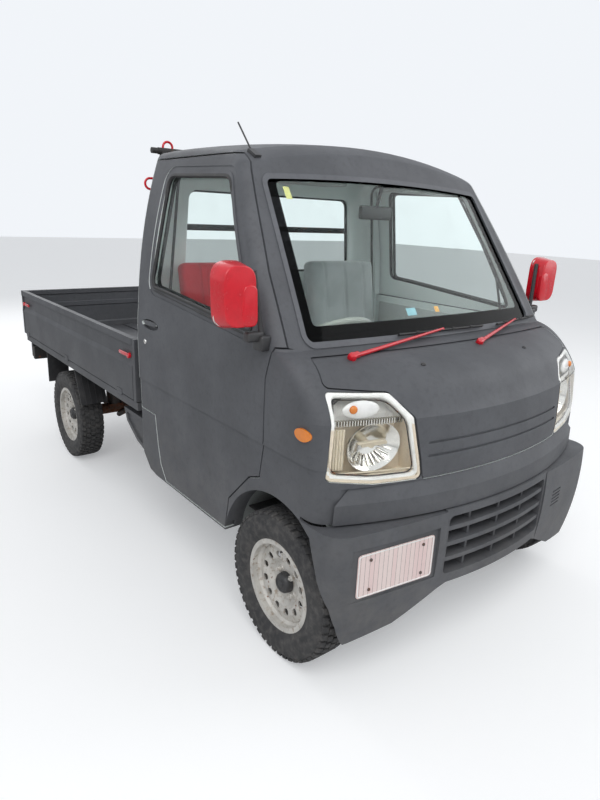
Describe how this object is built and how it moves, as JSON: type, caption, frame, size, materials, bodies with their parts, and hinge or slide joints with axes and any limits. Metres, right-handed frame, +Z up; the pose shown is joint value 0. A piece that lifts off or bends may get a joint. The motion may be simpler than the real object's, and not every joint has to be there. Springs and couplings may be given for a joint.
{
  "type": "small flat-bed truck",
  "caption": "Forward-cab small truck with hollow cab, opening doors, steered front wheels, ribbed load bed and drop-down sides and tailgate.",
  "frame": {"origin": "on the ground under the middle of the truck's length and width", "axes": "+Z up, -Y towards the truck's front, +X towards the truck's left side"},
  "size_m": [1.81, 3.3954, 1.8059],
  "materials": {
    "coated_body": "matte textured bed-liner coat",
    "coated_plastic": "matte textured coat on plastic",
    "bed_metal": "matte textured coat, worn",
    "frame_paint": "black chassis paint with rust",
    "cab_paint": "gloss off-white inner paint",
    "red_plastic": "gloss red paint",
    "red_metal": "gloss red paint",
    "black_rubber": "matte",
    "tyre_rubber": "matte, dusty",
    "wheel_steel": "silver-white paint with rust stains",
    "glass": "clear with a light green tint",
    "lamp_lens": "clear, slightly yellowed",
    "lamp_housing": "cream plastic and reflector",
    "amber_lens": "translucent amber",
    "red_lens": "translucent red",
    "dash_plastic": "grained",
    "seat_fabric": "woven cloth and vinyl",
    "plate_blank": "satin, plain planks",
    "rusty_steel": "rusty",
    "bare_iron": "oily iron",
    "tank_plastic": "black"
  },
  "bodies": {
    "body": {"aerial": "black_rubber", "bumper_band": "coated_plastic", "cab_controls": "dash_plastic", "cab_floor": "cab_paint", "cab_shell": "coated_body", "chassis_frame": "frame_paint", "dashboard": "dash_plastic", "engine": "bare_iron", "engine_cover": "dash_plastic", "exhaust": "rusty_steel", "front_bumper": "coated_plastic", "front_panel": "coated_body", "front_suspension": "bare_iron", "fuel_tank": "tank_plastic", "guard_frame": "frame_paint", "headlamp_housings": "lamp_housing", "headlamp_lenses": "lamp_lens", "license_plate": "plate_blank", "load_floor": "bed_metal", "mud_guards": "black_rubber", "propshaft": "bare_iron", "rear_axle": "bare_iron", "rear_bar": "frame_paint", "rear_suspension": "bare_iron", "rear_window": "glass", "rope_hooks": "red_metal", "seats": "seat_fabric", "side_box": "tank_plastic", "side_markers": "amber_lens", "spare_rim": "wheel_steel", "spare_tyre": "tyre_rubber", "steering_wheel": "dash_plastic", "tail_lamps": "red_lens", "windscreen": "glass", "windscreen_seal": "black_rubber", "wipers": "red_metal"},
    "door_left": {"door_left": "coated_body", "door_glass_left": "glass", "mirror_left": "red_plastic"},
    "side_gate_left": {"side_gate_left": "bed_metal"},
    "knuckle_left": {"knuckle_left": "bare_iron"},
    "wheel_front_left": {"rim_front_left": "wheel_steel", "tyre_front_left": "tyre_rubber"},
    "wheel_rear_left": {"rim_rear_left": "wheel_steel", "tyre_rear_left": "tyre_rubber"},
    "door_right": {"door_right": "coated_body", "door_glass_right": "glass", "mirror_right": "red_plastic"},
    "side_gate_right": {"side_gate_right": "bed_metal"},
    "knuckle_right": {"knuckle_right": "bare_iron"},
    "wheel_front_right": {"rim_front_right": "wheel_steel", "tyre_front_right": "tyre_rubber"},
    "wheel_rear_right": {"rim_rear_right": "wheel_steel", "tyre_rear_right": "tyre_rubber"},
    "tailgate": {"tailgate": "bed_metal"}
  },
  "joints": [
    {"name": "door_left_hinge", "type": "hinge", "parent": "body", "child": "door_left", "pos_m": [0.737, -1.3, 0.9], "axis": [0, 0, -1], "range_deg": [0, 62]},
    {"name": "side_gate_left_hinge", "type": "hinge", "parent": "body", "child": "side_gate_left", "pos_m": [0.733, 0.74, 0.64], "axis": [0, 1, 0], "range_deg": [0, 175]},
    {"name": "steer_left", "type": "hinge", "parent": "body", "child": "knuckle_left", "pos_m": [0.5825, -1.3035, 0.268], "axis": [0, 0, 1], "range_deg": [-32, 32]},
    {"name": "wheel_front_left_spin", "type": "hinge", "parent": "knuckle_left", "child": "wheel_front_left", "pos_m": [0.6525, -1.3035, 0.268], "axis": [1, 0, 0], "continuous": true},
    {"name": "wheel_rear_left_spin", "type": "hinge", "parent": "body", "child": "wheel_rear_left", "pos_m": [0.6525, 0.8965, 0.268], "axis": [1, 0, 0], "continuous": true},
    {"name": "door_right_hinge", "type": "hinge", "parent": "body", "child": "door_right", "pos_m": [-0.737, -1.3, 0.9], "axis": [0, 0, 1], "range_deg": [0, 62]},
    {"name": "side_gate_right_hinge", "type": "hinge", "parent": "body", "child": "side_gate_right", "pos_m": [-0.733, 0.74, 0.64], "axis": [0, -1, 0], "range_deg": [0, 175]},
    {"name": "steer_right", "type": "hinge", "parent": "body", "child": "knuckle_right", "pos_m": [-0.5825, -1.3035, 0.268], "axis": [0, 0, 1], "range_deg": [-32, 32]},
    {"name": "wheel_front_right_spin", "type": "hinge", "parent": "knuckle_right", "child": "wheel_front_right", "pos_m": [-0.6525, -1.3035, 0.268], "axis": [1, 0, 0], "continuous": true},
    {"name": "wheel_rear_right_spin", "type": "hinge", "parent": "body", "child": "wheel_rear_right", "pos_m": [-0.6525, 0.8965, 0.268], "axis": [1, 0, 0], "continuous": true},
    {"name": "tailgate_hinge", "type": "hinge", "parent": "body", "child": "tailgate", "pos_m": [0, 1.6925, 0.64], "axis": [-1, 0, 0], "range_deg": [0, 175]}
  ],
  "couplings": [
    {"joint": "steer_left", "follows": "steer_right", "ratio": 1}
  ]
}
